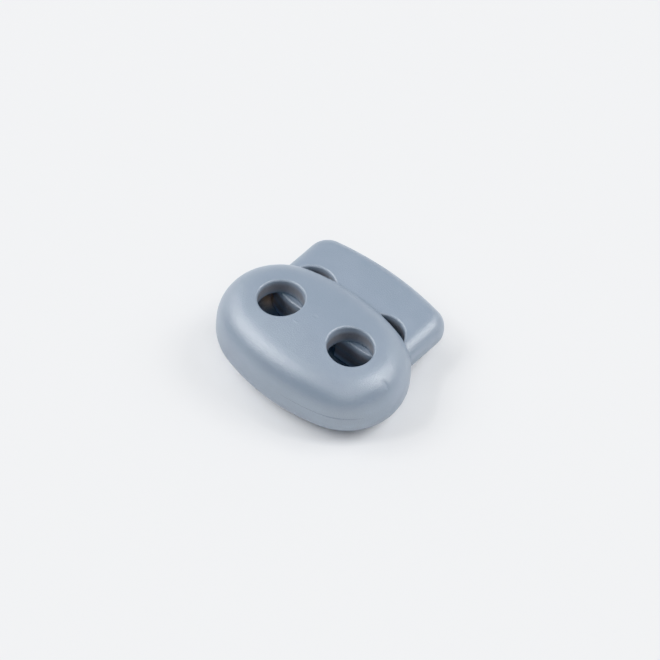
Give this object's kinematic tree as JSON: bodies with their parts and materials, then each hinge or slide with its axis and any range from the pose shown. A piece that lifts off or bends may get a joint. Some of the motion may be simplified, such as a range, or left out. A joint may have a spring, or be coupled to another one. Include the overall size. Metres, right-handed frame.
{
  "type": "two-hole cord lock",
  "caption": "Oval two-hole cord lock: a domed housing with a spring-loaded sliding plunger that clamps the cords where the holes cross.",
  "frame": {"origin": "centre of the whole cord lock's footprint, plunger out, on the plane that its lower domed face touches when it is held level", "axes": "+X from the left cord hole to the right one, +Y the way the plunger is pushed out, +Z along the cord holes, out of the upper face"},
  "size_m": [0.0224, 0.0204, 0.0088],
  "materials": {
    "housing_plastic": "satin moulded acetal, blue-grey, fine spark-eroded grain",
    "plunger_plastic": "satin moulded acetal, blue-grey, fine spark-eroded grain",
    "spring_steel": "drawn stainless spring wire"
  },
  "bodies": {
    "housing": {"housing": "housing_plastic", "spring": "spring_steel"},
    "plunger": {"plunger": "plunger_plastic"}
  },
  "joints": [
    {"name": "plunger_slide", "type": "slide", "parent": "housing", "child": "plunger", "axis": [0, -1, 0], "range_m": [0, 0.00517], "stiffness_N_per_m": 620, "springref_m": -0.004, "deforming": ["spring"]}
  ]
}
